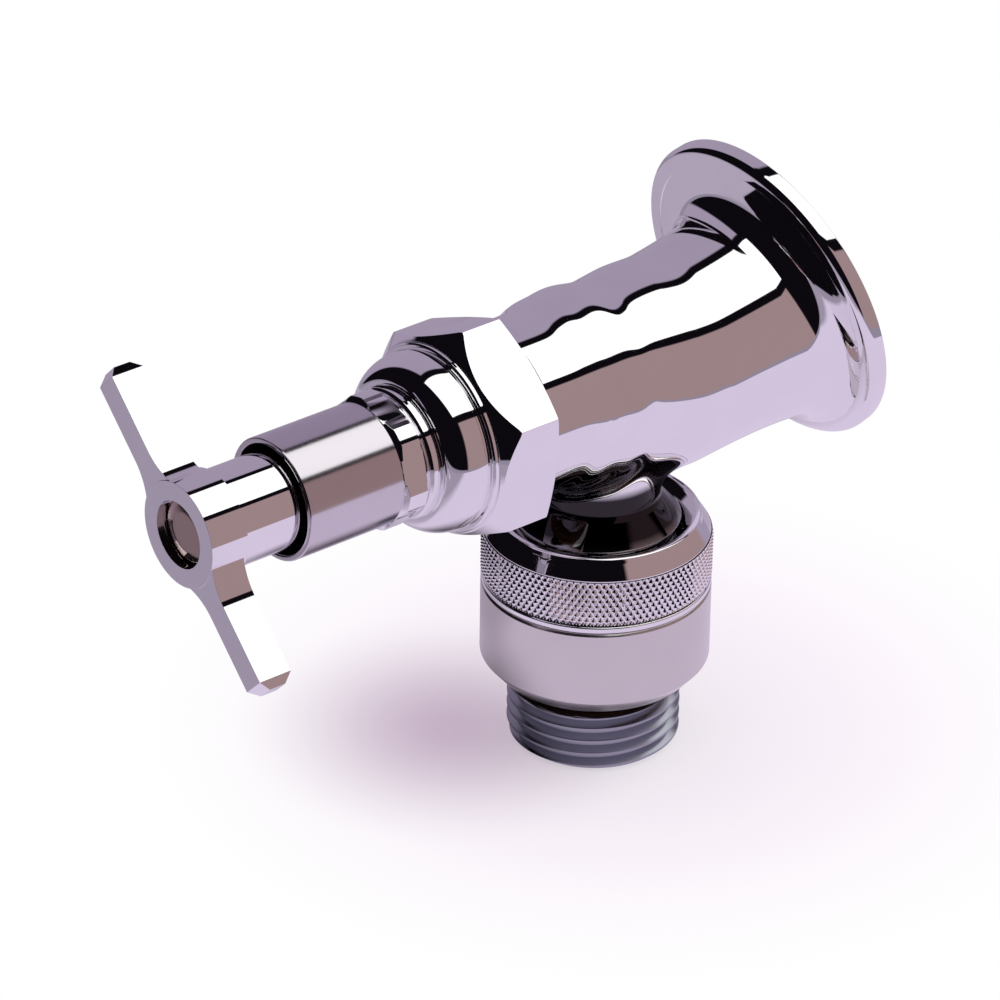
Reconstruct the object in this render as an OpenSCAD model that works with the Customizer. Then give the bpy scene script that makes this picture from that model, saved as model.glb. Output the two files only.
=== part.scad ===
// Sill faucet: wall flange, angled compression valve, tee handle and a screwed-on hose vacuum breaker.
// The origin is the centre of the flange's back face. +Y runs into the wall, +Z is up, the handle points to -Y.
// Inside the part two more directions are used: the stem axis and the outlet axis, square to each other.

/* [Axes] */
// Angle of the stem axis above the horizontal, in degrees
tilt = 15; // [10:0.5:18]
// Distance from the wall to where the stem axis meets the inlet axis
bend_out = 18.1; // [17:0.1:19.5]
// Distance along the stem axis from that bend to the outlet axis
outlet_run = 17; // [16:0.1:20]
// Distance from the stem axis down to the top of the knurled band
breaker_drop = 26.3; // [25:0.1:29]

/* [Wall flange and inlet] */
// Diameter of the wall flange
flange_d = 51; // [50.6:0.1:56]
// Thickness of the flange at its rolled edge
flange_edge_t = 3.2; // [2.4:0.1:4]
// Radius of the cove between the flange and the barrel
flange_cove_r = 2.6; // [2:0.1:2.8]
// Bore of the inlet thread over its crests
inlet_d = 24.6; // [22:0.1:25]
// Length of the inlet thread
inlet_l = 14; // [12:0.5:15]
// Pitch of the inlet thread
inlet_pitch = 1.814; // [1.3:0.001:2]
// Depth of the inlet thread's grooves
inlet_groove = 0.9; // [0.5:0.05:1]
// Diameter at the end of the cone behind the inlet thread
inlet_cone_d = 17; // [16.6:0.1:18]
// Length of that cone
inlet_cone_l = 3; // [2.6:0.1:3.4]

/* [Barrel and valve chamber] */
// Radius of the barrel beside the flange
barrel_out_r = 18.3; // [17.4:0.1:18.5]
// Radius of the barrel where it runs into the valve chamber
barrel_in_r = 16.3; // [15.5:0.1:17]
// How far the barrel's inner end lies below the stem axis
barrel_drop = 1.7; // [1:0.1:2]
// Distance from the outlet axis back to the barrel's inner end
barrel_back = 10; // [8:0.1:12]
// Angle between the barrel and the stem axis, in degrees
barrel_lean = 7.5; // [6:0.5:8]
// Radius of the chamber's waist, which is its thinnest stretch
chamber_waist_r = 13.7; // [13.4:0.1:14.4]
// How far the chamber's belly swells beyond the waist
chamber_belly = 1.4; // [0.6:0.05:1.6]
// Distance from the outlet axis to the belly's fullest point
belly_s = 4.2; // [3:0.1:6]
// Distance from the outlet axis to the front face of the body
body_front_s = 20.2; // [20:0.1:21]
// Bore of the valve chamber
chamber_d = 21.6; // [20:0.1:22]
// Bore of the water way behind the seat
throat_d = 14; // [12:0.1:14.5]
// Bore of the outlet neck
neck_bore_d = 13.9; // [12.1:0.2:14.3]
// Outside diameter of the outlet neck at its narrowest
neck_d = 19; // [18.5:0.1:21]
// Radius of the fillet between the body and the outlet neck
neck_fillet_r = 3.4; // [2:0.1:4]

/* [Seat, disc and stem] */
// Distance from the outlet axis back to the crown of the seat
seat_back = 6.5; // [6:0.1:7]
// Bore of the seat
seat_bore_d = 10.4; // [9:0.1:11]
// Diameter of the seat ring
seat_ring_d = 16; // [15.5:0.1:17]
// Length of the seat ring
seat_ring_l = 5; // [4:0.1:6]
// Height of the seat's raised crown
crown_h = 0.8; // [0.5:0.1:1.2]
// Diameter of the seat washer
seat_washer_d = 13.6; // [13:0.1:14.5]
// Thickness of the seat washer
seat_washer_t = 3; // [2.4:0.1:3.4]
// Wall of the disc holder's cup round the washer
cup_wall = 0.8; // [0.6:0.1:1.2]
// Depth of the cup
cup_depth = 1.8; // [1.2:0.1:2]
// Thickness of the disc holder's floor
cup_floor_t = 2.6; // [2:0.1:3]
// Diameter of the disc holder's swivel shank
swivel_d = 5.2; // [4.5:0.1:6]
// Length of that shank
swivel_l = 6.4; // [5:0.1:8]
// Diameter of the small screw that holds the seat washer
washer_screw_d = 2.8; // [2.4:0.1:3.2]
// Length of that screw in the disc holder
washer_screw_l = 5; // [4:0.1:6]
// Diameter of that screw's head
washer_head_d = 6.4; // [5.6:0.1:7.2]
// Height of that screw's head
washer_head_h = 1.4; // [1.2:0.1:1.8]
// Width of the slot in that screw's head
washer_slot_w = 0.8; // [0.6:0.1:1]
// Depth of that slot
washer_slot_depth = 0.7; // [0.4:0.1:0.9]
// Diameter of the stem's foot
foot_d = 12; // [11:0.1:13]
// Diameter over the stem's thread
stem_thread_d = 13.8; // [13.2:0.1:14.4]
// Pitch of the stem's thread
stem_pitch = 2.54; // [2:0.01:3]
// Turns of the handle from shut to fully open
open_turns = 1.75; // [1:0.25:2]
// Diameter of the stem's plain shaft
stem_d = 9.5; // [9:0.1:10]
// Size across the flats of the stem's square end
stem_square = 6.6; // [6:0.1:6.8]
// Length of the stem's square end
square_l = 17; // [14:0.1:18]

/* [Bonnet and packing] */
// Thickness of the gasket under the bonnet
gasket_t = 0.9; // [0.5:0.1:1.5]
// Size across the flats of the bonnet's hexagon
bonnet_af = 30.8; // [30.4:0.1:32]
// Angle of one of that hexagon's corners about the stem axis, in degrees
bonnet_turn = 20; // [0:1:60]
// Length of the bonnet's hexagon, its chamfer included
bonnet_hex_l = 10.6; // [9.6:0.1:12]
// Radius to which that hexagon's corners are turned
bonnet_corner_r = 17.7; // [17.2:0.1:17.8]
// Length of the chamfer at the front of the hexagon
bonnet_chamfer_l = 3; // [2:0.1:4]
// Radius at the front edge of that chamfer
bonnet_edge_r = 15; // [14.6:0.1:15.2]
// Radius of the dome at its foot
dome_foot_r = 14; // [13.6:0.1:14.4]
// Length of the dome
dome_l = 7.2; // [6:0.1:8]
// Radius of the flat at the top of the dome
dome_top_r = 10.6; // [10.4:0.1:11]
// Length of the bonnet's thread in the body
bonnet_thread_l = 9.4; // [8:0.1:10]
// Diameter over the bonnet's thread
bonnet_thread_d = 23; // [22.6:0.1:23.4]
// Bore of the packing box
box_d = 16.6; // [16.2:0.1:17.4]
// Thickness of the washer under the packing
packing_washer_t = 1; // [0.6:0.1:1.5]
// Height of one packing ring
packing_ring_h = 1.9; // [1.5:0.1:2]
// Number of packing rings
packing_count = 3; // [2:1:3]
// Height of the gland above the packing
gland_h = 1.6; // [1:0.1:2]
// Length of the packing nut's thread in the bonnet
packing_thread_l = 4; // [3.5:0.1:5]
// Diameter of the packing nut's collar
collar_d = 20.6; // [20.2:0.1:21]
// Length of the collar
collar_l = 1.9; // [1.2:0.1:2.5]
// Size across the flats of the packing nut's hexagon
packing_af = 19.2; // [19:0.1:20]
// Angle of one of its corners about the stem axis, in degrees
packing_turn = 46; // [0:1:60]
// Diameter to which the corners of that hexagon are turned
packing_corner_d = 20.8; // [20.6:0.1:22]
// Length of that hexagon
packing_hex_l = 4.5; // [4:0.1:6]
// Outside diameter of the packing nut's sleeve
sleeve_d = 19; // [18.6:0.1:19]
// Bore of the sleeve
sleeve_bore_d = 17; // [16.6:0.1:17.4]
// Length of the sleeve
sleeve_l = 17.2; // [14:0.1:19]
// Thickness of the floor at the bottom of the sleeve's bore
sleeve_floor_t = 1.8; // [1:0.1:3]

/* [Tee handle] */
// Diameter of the handle's shank
shank_d = 15; // [14.4:0.1:15.6]
// Length of shank that shows between the sleeve and the hub when shut
shank_show = 10.3; // [9:0.1:12]
// Length of shank inside the sleeve when shut
shank_in = 13; // [8:0.1:13.5]
// Diameter of the hub
hub_d = 16.4; // [15.8:0.1:17]
// Length of the hub along the stem axis
hub_l = 6.4; // [6:0.1:8]
// Length of the handle from tip to tip
handle_l = 52; // [46:0.5:60]
// Width of an arm
arm_w = 4.4; // [4:0.1:5]
// Depth of an arm along the stem axis
arm_depth = 5.6; // [5:0.1:5.8]
// How far the arms' front stands behind the hub's front
arm_setback = 0.2; // [0.2:0.1:0.4]
// Radius of the fillet between an arm and the hub
arm_fillet_r = 9.5; // [3:0.1:11]
// Bevel at each tip
tip_bevel = 1.4; // [0.6:0.1:2]
// Angle of the arms about the stem axis when shut, in degrees
arm_angle = 135; // [90:1:180]
// Diameter of the recess in the hub
recess_d = 10.4; // [10:0.1:11]
// Depth of the recess
recess_depth = 2.6; // [2:0.1:3]
// Thickness of the handle under the recess
recess_floor_t = 1.4; // [1:0.1:2]
// Diameter of the handle screw's head
screw_head_d = 9.4; // [9:0.1:9.6]
// Height of the handle screw's head
screw_head_h = 1.5; // [1:0.1:1.8]
// Diameter of the handle screw
screw_d = 4; // [3.5:0.1:4.4]
// Length of the handle screw under its head
screw_l = 12; // [8:0.5:14]

/* [Hose threads] */
// Diameter over the vacuum breaker's hose thread
hose_d = 26.9; // [26.6:0.1:27]
// Diameter over the faucet's own hose thread
neck_hose_d = 26.5; // [26.2:0.1:26.5]
// Pitch of the hose threads
hose_pitch = 2.209; // [2:0.001:2.4]
// Depth of the hose threads
hose_groove = 1.3; // [1:0.05:1.4]
// Length of the faucet's own hose thread
neck_thread_l = 10.5; // [9:0.1:11]
// Length of the vacuum breaker's hose thread
nipple_thread_l = 10.8; // [9:0.1:12]

/* [Vacuum breaker housing] */
// Height of the coned lip above the knurled band
lip_h = 3.2; // [2:0.1:4]
// Outer radius of the lip at its top
lip_out_r = 16; // [15.5:0.1:16.5]
// Inner radius of the lip at its top
lip_in_r = 14.7; // [14.4:0.1:15]
// Diameter over the knurling
knurl_d = 35.8; // [35.4:0.1:37]
// Height of the knurled band
knurl_h = 7.4; // [6:0.1:8]
// Height of the rounded bead below the knurling
bead_h = 1.6; // [1:0.1:2]
// Diameter of the plain band
band_d = 35.6; // [35:0.1:36.4]
// Height of the plain band
band_h = 12.5; // [12:0.1:14]
// Height of the chamfer below the plain band
skirt_chamfer_h = 2.5; // [2:0.1:3]
// Outer radius of the skirt at its bottom edge
skirt_edge_r = 15.4; // [15.2:0.1:16]
// Inner radius of the skirt's rolled edge
skirt_lip_r = 14.2; // [13.9:0.1:14.4]
// Thickness of the hose washer in the housing
hose_washer_t = 3; // [2.5:0.1:3.5]
// Hole in the hose washer
hose_washer_hole_d = 16; // [14:0.1:18]
// Thickness of the web that carries the inlet seat
web_t = 2; // [1.6:0.1:2.4]
// Hole in the web
web_hole_d = 12.4; // [11:0.1:13]
// Bore of the cavity below the web
cavity_d = 29.8; // [29.6:0.1:30.4]
// Diameter of the locking screw
lock_screw_d = 3.2; // [2.5:0.1:4]
// Height of the locking screw's centre below the top of the knurling
lock_screw_drop = 3.4; // [2.5:0.1:4.5]

/* [Vacuum breaker works] */
// Thickness of the rubber disc
disc_t = 1.8; // [1.4:0.1:2.2]
// Hole in the rubber disc
disc_hole_d = 10; // [9:0.1:10.6]
// Travel of the rubber disc
disc_travel = 1.6; // [1:0.1:1.8]
// Travel of the poppet
poppet_travel = 3.2; // [2.4:0.1:3.6]
// Diameter of the poppet's head
poppet_d = 13.2; // [12:0.1:14]
// Thickness of the poppet's head
poppet_t = 1.5; // [1:0.1:2]
// Diameter of the poppet's guide stem
poppet_stem_d = 3.2; // [2.5:0.1:4]
// Length of that stem below the guide when shut
poppet_tail = 1.8; // [1:0.1:3]
// Wire of the return spring
wire_d = 0.5; // [0.4:0.05:0.6]
// Mean diameter of the return spring
spring_d = 7.6; // [6.8:0.1:8.4]
// Curls of the return spring
spring_curls = 4; // [3:0.5:4.5]
// Length of the return spring when shut
spring_l = 5.6; // [5.4:0.1:6.5]
// Height of the guide
guide_h = 2.2; // [1.6:0.1:3]
// Arms of the guide
guide_arms = 3; // [3:1:5]
// Width of an arm of the guide
guide_arm_w = 1.6; // [1.2:0.1:2]
// Thickness of the nipple's flange
nipple_flange_t = 3; // [2.5:0.1:3.5]
// Outer diameter of the undercut above the nipple's thread
undercut_d = 23.8; // [23:0.1:24]
// Bore of the nipple's mouth
nipple_bore_d = 16.8; // [15:0.1:17]
// Bore of the nipple above the ledge that holds the guide
guide_bore_d = 18.4; // [18:0.1:19]
// Number of air holes through the nipple's flange
air_holes = 12; // [6:1:16]
// Diameter of an air hole
air_hole_d = 1.8; // [1.2:0.1:1.8]

/* [Fits] */
// Radial clearance where a piece turns or slides in another
running_play = 0.08; // [0.03:0.01:0.1]
// Radial clearance where a piece is screwed or pressed in for good
seat_play = 0.05; // [0.02:0.01:0.1]
// End gap where two pieces move apart
end_play = 0.1; // [0.05:0.01:0.2]

/* [Hidden] */
$fn = 96;
eps = 0.01;
// How far a cutting shape reaches beyond the piece it cuts
over = 1;
// Size of a small broken edge
edge = 0.4;
// Depth of the stem's thread
stem_groove = 0.9;
// How far the crest of a hose thread starts inside the piece that carries it
thread_inset = 1.4;
// Length over which the chamber's belly fades out
belly_fade = 7.5;
// Width of the seat's flat crown
crown_w = 0.7;
// Length of the throat behind the stem's bend
throat_back = 2.5;
// How far the gasket shows beyond the body
gasket_show = 0.5;
// Radial room round the rubber disc
disc_room = 0.4;
// How far inside the hub's surface the fillet of an arm ends
fillet_sink = 0.4;
// Height of the cone between the outlet neck and its thread, and how far it spreads
neck_cone_h = 2;
neck_cone_out = 0.7;
// Wall of the guide's rim and of its hub
guide_rim_w = 1.2;
guide_hub_w = 0.8;
// Slope of the poppet's nose, across over its height
poppet_nose = 2;

chrome = [0.82, 0.80, 0.84];
brass = [0.76, 0.60, 0.34];
rubber = [0.12, 0.12, 0.13];

// Stations along the stem axis, counted from the outlet axis towards the handle
seat_s = -seat_back;
disc_s = seat_s + seat_washer_t;
foot_s = disc_s + cup_floor_t + end_play;
nut_back_s = body_front_s + gasket_t;
chamfer_s = nut_back_s + bonnet_hex_l - bonnet_chamfer_l;
nut_front_s = nut_back_s + bonnet_hex_l;
dome_top_s = nut_front_s + dome_l;
box_depth = packing_washer_t + packing_count * packing_ring_h + gland_h + packing_thread_l;
box_s = dome_top_s - box_depth;
collar_s = dome_top_s;
hex_s = collar_s + collar_l;
sleeve_s = hex_s + packing_hex_l;
sleeve_end_s = sleeve_s + sleeve_l;
hub_s = sleeve_end_s + shank_show;
shank_in_s = sleeve_end_s - shank_in;
hub_front_s = hub_s + hub_l;
recess_s = hub_front_s - recess_depth;
stem_end_s = recess_s - recess_floor_t;
square_s = stem_end_s - square_l;
stem_rise = stem_pitch * open_turns;
stem_thread_end_s = box_s - stem_rise - end_play;
stem_thread_s = body_front_s - bonnet_thread_l;

// The fillet between an arm and the hub: where it ends on the arm, and where it starts inside the hub
fillet_in_r = hub_d / 2 - fillet_sink;
fillet_end_x = sqrt(pow(fillet_in_r + arm_fillet_r, 2) - pow(arm_w / 2 + arm_fillet_r, 2));
fillet_start_x = fillet_end_x * fillet_in_r / (fillet_in_r + arm_fillet_r);

// The barrel's length from its inner end to the wall, and the height at which its axis meets the wall
barrel_l = bend_out / cos(tilt) + outlet_run - barrel_back;
barrel_end_out = bend_out + (outlet_run - barrel_back) * cos(tilt) + barrel_drop * sin(tilt);
barrel_end_z = (outlet_run - barrel_back) * sin(tilt) - barrel_drop * cos(tilt);
barrel_root_z = barrel_end_z - barrel_end_out * tan(tilt - barrel_lean);

// Stations along the outlet axis, counted up from the top of the knurled band
neck_root_z = breaker_drop - chamber_waist_r - edge;
neck_thread_z = lip_h - thread_inset;
neck_end_z = neck_thread_z - neck_thread_l;
web_z = neck_end_z - hose_washer_t;
disc_z = web_z - web_t;
poppet_z = disc_z - disc_t - end_play;
flange_z = disc_z - disc_t - disc_travel - end_play;
spring_top_z = poppet_z - poppet_t;
guide_z = spring_top_z - spring_l;
guide_ledge_z = guide_z - guide_h;
band_z = -knurl_h - bead_h;
skirt_z = band_z - band_h;
housing_end_z = skirt_z - skirt_chamfer_h;
nipple_thread_z = housing_end_z - thread_inset;
nipple_end_z = nipple_thread_z - nipple_thread_l;

// Places a shape on the inlet axis, t millimetres out from the wall
module on_inlet(t = 0) rotate([90, 0, 0]) translate([0, 0, t]) children();

// Places a shape at the crossing of the stem axis and the outlet axis
module at_crossing() translate([0, -bend_out - outlet_run * cos(tilt), outlet_run * sin(tilt)])
    rotate([-tilt, 0, 0]) children();

// Places a shape on the stem axis, its own +Z towards the handle
module on_stem(s = 0) at_crossing() rotate([90, 0, 0]) translate([0, 0, s]) children();

// Places a shape on the outlet axis, z millimetres above the top of the knurled band
module on_outlet(z = 0) at_crossing() translate([0, 0, z - breaker_drop]) children();

// A straight tube
module tube(outer_d, inner_d, length) difference() {
    cylinder(h = length, d = outer_d);
    translate([0, 0, -over]) cylinder(h = length + 2 * over, d = inner_d);
}

// A hexagonal bar given across its flats
module hex_bar(across, length) cylinder(h = length, d = across / cos(30), $fn = 6);

// The points of a thread's outline, as rings: each ring has a flat crest and two flanks
function thread_points(crest_r, depth, pitch, length) = let (n = floor(length / pitch), side = depth * tan(30))
    [for (i = [0:n - 1]) let (z = (length - n * pitch) / 2 + (i + 0.5) * pitch, w = pitch / 2 - side)
        each [[crest_r - depth, z - side - w / 2], [crest_r, z - w / 2], [crest_r, z + w / 2],
            [crest_r - depth, z + side + w / 2]]];

// A male thread drawn as rings
module thread_rings(d, depth, pitch, length) rotate_extrude()
    polygon(concat([[0, 0], [d / 2 - depth, 0]], thread_points(d / 2, depth, pitch, length),
        [[d / 2 - depth, length], [0, length]]));

// The tool that cuts a female thread, drawn as rings
module thread_grooves(d, depth, pitch, length) thread_rings(d + 2 * depth, depth, pitch, length);

// Radius of the valve chamber's outside at station s
function chamber_r(s) = chamber_waist_r + chamber_belly * exp(-pow((s - belly_s) / belly_fade, 2));

// The cove between the flange and the barrel: an arc, run on straight at both ends into the metal it joins
function cove_points(inner_r, foot_t, r) = let (
        arc = [for (a = [20:14:62]) [inner_r + r * (sin(62) - sin(a)), foot_t + r * (1 - cos(a))]],
        out = arc[0] - arc[1], in = arc[3] - arc[2])
    concat([arc[0] + 1.5 * out], arc, [arc[3] + 8 * in]);

// The outside of the cast body
module body_outside() {
    on_inlet() rotate_extrude() polygon(concat([[0, 0], [flange_d / 2 - edge, 0]],
        [for (a = [0:15:75])
            [flange_d / 2 - flange_edge_t * (1 - cos(a)), edge + (flange_edge_t - edge) * sin(a)]],
        [[flange_d / 2 - flange_edge_t - 1, flange_edge_t], [0, 1.5 * flange_edge_t]]));
    barrel_root() rotate_extrude() polygon(concat([[0, over], [barrel_out_r, over]],
        cove_points(barrel_out_r + edge / 2, flange_edge_t - edge, flange_cove_r), [[0, flange_edge_t + 8]]));
    barrel_axis() rotate_extrude() polygon(concat(
        [for (a = [0:15:75]) [barrel_in_r * sin(a), -barrel_in_r * cos(a)]],
        [[barrel_in_r, 0], [barrel_out_r, barrel_l], [barrel_out_r, barrel_l + flange_edge_t + 1],
            [0, barrel_l + flange_edge_t + 1]]));
    on_stem() rotate_extrude() polygon(concat([[0, -barrel_back]],
        [for (s = [-barrel_back:1.5:body_front_s]) [chamber_r(s), s]],
        [[chamber_r(body_front_s), body_front_s], [0, body_front_s]]));
    on_outlet() rotate_extrude() polygon(concat([[0, breaker_drop], [neck_d / 2 + neck_fillet_r, breaker_drop]],
        [for (a = [0:15:90])
            [neck_d / 2 + neck_fillet_r * (1 - sin(a)), neck_root_z - neck_fillet_r * (1 - cos(a))]],
        [[neck_d / 2, neck_thread_z + 2 * neck_cone_h + 1.5 * edge],
            [neck_d / 2 + neck_cone_out, neck_thread_z + neck_cone_h + 1.5 * edge],
            [neck_hose_d / 2 - edge, neck_thread_z + 2 * edge], [neck_hose_d / 2 - edge, neck_thread_z - edge],
            [neck_hose_d / 2 - hose_groove, neck_thread_z - edge], [0, neck_thread_z - edge]]));
    on_outlet(neck_end_z) thread_rings(neck_hose_d, hose_groove, hose_pitch, neck_thread_l - edge);
}

// The barrel's own axis, from its inner end to the wall
module barrel_axis() on_stem(-barrel_back) translate([0, -barrel_drop, 0])
    rotate([180 + barrel_lean, 0, 0]) children();

// The cove's own axis, square to the wall and level with the barrel's middle
module barrel_root() translate([0, 0, barrel_root_z]) on_inlet() children();

module valve_body() color(chrome) difference() {
    body_outside();
    translate([-flange_d, 0, -flange_d]) cube([2 * flange_d, flange_d, 2 * flange_d]);
    on_inlet(-over) cylinder(h = inlet_l + over, d = inlet_d);
    on_inlet(inlet_l - eps) cylinder(h = inlet_cone_l, d1 = inlet_d, d2 = inlet_cone_d);
    on_inlet() thread_grooves(inlet_d, inlet_groove, inlet_pitch, inlet_l);
    on_stem(-outlet_run - throat_back) cylinder(h = outlet_run + over, d = throat_d);
    on_stem(seat_s - crown_h - seat_ring_l) cylinder(h = seat_ring_l + over, d = seat_ring_d);
    on_stem(seat_s - crown_h) cylinder(h = body_front_s - seat_s + crown_h + over, d = chamber_d);
    on_stem(stem_thread_s - over)
        cylinder(h = bonnet_thread_l + 2 * over, d = bonnet_thread_d + 2 * seat_play);
    on_outlet(neck_end_z - over) cylinder(h = breaker_drop - neck_end_z + over, d = neck_bore_d);
}

module seat_ring() color(brass) on_stem(seat_s) difference() {
    union() {
        translate([0, 0, -crown_h - seat_ring_l]) cylinder(h = seat_ring_l, d = seat_ring_d - 2 * seat_play);
        translate([0, 0, -crown_h])
            cylinder(h = crown_h, d1 = seat_bore_d + 4 * crown_h, d2 = seat_bore_d + 2 * crown_w);
    }
    translate([0, 0, -crown_h - seat_ring_l - over])
        cylinder(h = seat_ring_l + crown_h + 2 * over, d = seat_bore_d);
}

module disc_holder() color(brass) on_stem(disc_s) difference() {
    union() {
        translate([0, 0, -cup_depth])
            cylinder(h = cup_depth + cup_floor_t, d = seat_washer_d + 2 * cup_wall + 2 * seat_play);
        cylinder(h = cup_floor_t + swivel_l, d = swivel_d);
    }
    translate([0, 0, -cup_depth - over]) cylinder(h = cup_depth + over, d = seat_washer_d + 2 * seat_play);
    translate([0, 0, -over]) cylinder(h = washer_screw_l + over, d = washer_screw_d + 2 * seat_play);
}

module seat_washer() color(rubber) on_stem(seat_s)
    tube(seat_washer_d, washer_screw_d + 2 * seat_play, seat_washer_t);

module seat_washer_screw() color(brass) on_stem(seat_s) difference() {
    union() {
        translate([0, 0, -washer_head_h]) cylinder(h = washer_head_h, d = washer_head_d);
        cylinder(h = seat_washer_t + washer_screw_l - edge, d = washer_screw_d);
    }
    translate([-washer_head_d, -washer_slot_w / 2, -washer_head_h - over])
        cube([2 * washer_head_d, washer_slot_w, washer_slot_depth + over]);
}

module stem() color(brass) on_stem() difference() {
    union() {
        translate([0, 0, foot_s]) cylinder(h = stem_thread_s - foot_s, d = foot_d);
        translate([0, 0, stem_thread_s])
            thread_rings(stem_thread_d, stem_groove, stem_pitch, stem_thread_end_s - stem_thread_s);
        translate([0, 0, stem_thread_s]) cylinder(h = square_s - stem_thread_s, d = stem_d);
        translate([-stem_square / 2, -stem_square / 2, square_s - eps])
            cube([stem_square, stem_square, square_l]);
    }
    translate([0, 0, foot_s - over]) cylinder(h = swivel_l + over + edge, d = swivel_d + 2 * running_play);
    translate([0, 0, stem_end_s - screw_l - over])
        cylinder(h = screw_l + 2 * over, d = screw_d + 2 * seat_play);
}

module bonnet_gasket() color("saddlebrown") on_stem(body_front_s)
    tube(2 * chamber_r(body_front_s) + 2 * gasket_show, bonnet_thread_d + 2 * seat_play, gasket_t);

module bonnet() color(chrome) on_stem() difference() {
    union() {
        translate([0, 0, stem_thread_s]) cylinder(h = bonnet_thread_l + gasket_t + over, d = bonnet_thread_d);
        intersection() {
            translate([0, 0, nut_back_s]) rotate([0, 0, bonnet_turn]) hex_bar(bonnet_af, bonnet_hex_l);
            rotate_extrude() polygon([[0, nut_back_s], [bonnet_af / 2, nut_back_s],
                [bonnet_corner_r, nut_back_s + 2 * edge], [bonnet_corner_r, chamfer_s],
                [bonnet_edge_r, nut_front_s], [0, nut_front_s]]);
        }
        rotate_extrude() polygon(concat([[0, nut_front_s - over], [dome_foot_r, nut_front_s - over]],
            [for (a = [0:15:90]) [dome_top_r + (dome_foot_r - dome_top_r) * cos(a),
                nut_front_s + over + (dome_l - over) * sin(a)]], [[0, dome_top_s]]));
        translate([0, 0, nut_front_s]) cylinder(h = 1.5 * edge, r = bonnet_edge_r - edge);
    }
    cylinder(h = dome_top_s, d = stem_thread_d + 2 * running_play);
    translate([0, 0, box_s]) cylinder(h = box_depth + over, d = box_d);
}

module packing_washer() color(brass) on_stem(box_s)
    tube(box_d - 2 * seat_play, stem_d + 2 * running_play, packing_washer_t);

module packing_rings() color("dimgray") for (i = [0:packing_count - 1])
    on_stem(box_s + packing_washer_t + i * packing_ring_h)
        tube(box_d - 2 * seat_play, stem_d + 2 * running_play, packing_ring_h);

module packing_gland() color(brass) on_stem(box_s + packing_washer_t + packing_count * packing_ring_h)
    tube(box_d - 2 * seat_play, stem_d + 2 * running_play, gland_h);

module packing_nut() color(chrome) on_stem() difference() {
    union() {
        translate([0, 0, collar_s - packing_thread_l])
            cylinder(h = packing_thread_l + over, d = box_d - 2 * seat_play);
        rotate_extrude() polygon([[0, collar_s], [collar_d / 2 - edge, collar_s], [collar_d / 2, collar_s + edge],
            [collar_d / 2, hex_s - edge], [collar_d / 2 - edge, hex_s], [0, hex_s]]);
        intersection() {
            translate([0, 0, hex_s - eps]) rotate([0, 0, packing_turn]) hex_bar(packing_af, packing_hex_l);
            translate([0, 0, hex_s - over]) cylinder(h = packing_hex_l + 2 * over, d = packing_corner_d);
        }
        rotate_extrude() polygon([[0, sleeve_s - over], [sleeve_d / 2, sleeve_s - over],
            [sleeve_d / 2, sleeve_end_s - edge], [sleeve_d / 2 - edge, sleeve_end_s], [0, sleeve_end_s]]);
    }
    translate([0, 0, collar_s - packing_thread_l - over])
        cylinder(h = sleeve_end_s - collar_s, d = stem_d + 2 * running_play);
    translate([0, 0, sleeve_s + sleeve_floor_t]) cylinder(h = sleeve_l, d = sleeve_bore_d);
}

// Half width of an arm at distance x from the handle's axis: a fillet runs it into the hub
function arm_half(x) = let (back = max(0, fillet_end_x - x))
    arm_w / 2 + arm_fillet_r - sqrt(arm_fillet_r * arm_fillet_r - back * back);

module handle_arms() {
    tip = handle_l / 2;
    tip_half = arm_w / 2 - tip_bevel / 2;
    front = hub_l - arm_setback;
    back = front - arm_depth;
    steps = 7;
    fillet_step = (fillet_end_x - fillet_start_x) / steps;
    xs = concat([for (i = [0:steps]) fillet_start_x + fillet_step * i], [tip - tip_bevel]);
    last = len(xs) - 1;
    intersection() {
        linear_extrude(height = front) for (side = [0, 180]) rotate([0, 0, side])
            polygon(concat([[0, -arm_half(xs[0])]], [for (x = xs) [x, -arm_half(x)]],
                [[tip, -tip_half], [tip, tip_half]],
                [for (i = [last:-1:0]) [xs[i], arm_half(xs[i])]], [[0, arm_half(xs[0])]]));
        rotate([90, 0, 0]) linear_extrude(height = 2 * hub_d, center = true)
            polygon([[-tip, back + tip_bevel], [-tip + tip_bevel, back], [tip - tip_bevel, back],
                [tip, back + tip_bevel], [tip, front - tip_bevel], [tip - tip_bevel, front],
                [-tip + tip_bevel, front], [-tip, front - tip_bevel]]);
    }
}

module tee_handle() color(chrome) on_stem() difference() {
    union() {
        translate([0, 0, shank_in_s]) cylinder(h = shank_in + shank_show + over, d = shank_d);
        translate([0, 0, hub_s]) cylinder(h = hub_l, d = hub_d);
        translate([0, 0, hub_s]) rotate([0, 0, arm_angle]) handle_arms();
    }
    translate([0, 0, shank_in_s - over])
        cylinder(h = square_s - shank_in_s + over, d = stem_d + 2 * seat_play);
    translate([-stem_square / 2 - seat_play, -stem_square / 2 - seat_play, square_s - over])
        cube([stem_square + 2 * seat_play, stem_square + 2 * seat_play, square_l + over]);
    translate([0, 0, square_s]) cylinder(h = hub_front_s - square_s + over, d = screw_d + 4 * seat_play);
    translate([0, 0, recess_s]) cylinder(h = recess_depth + over, d = recess_d);
}

module handle_screw() color(chrome) on_stem(recess_s) union() {
    cylinder(h = screw_head_h, d = screw_head_d);
    translate([0, 0, -screw_l]) cylinder(h = screw_l + eps, d = screw_d);
}

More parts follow.
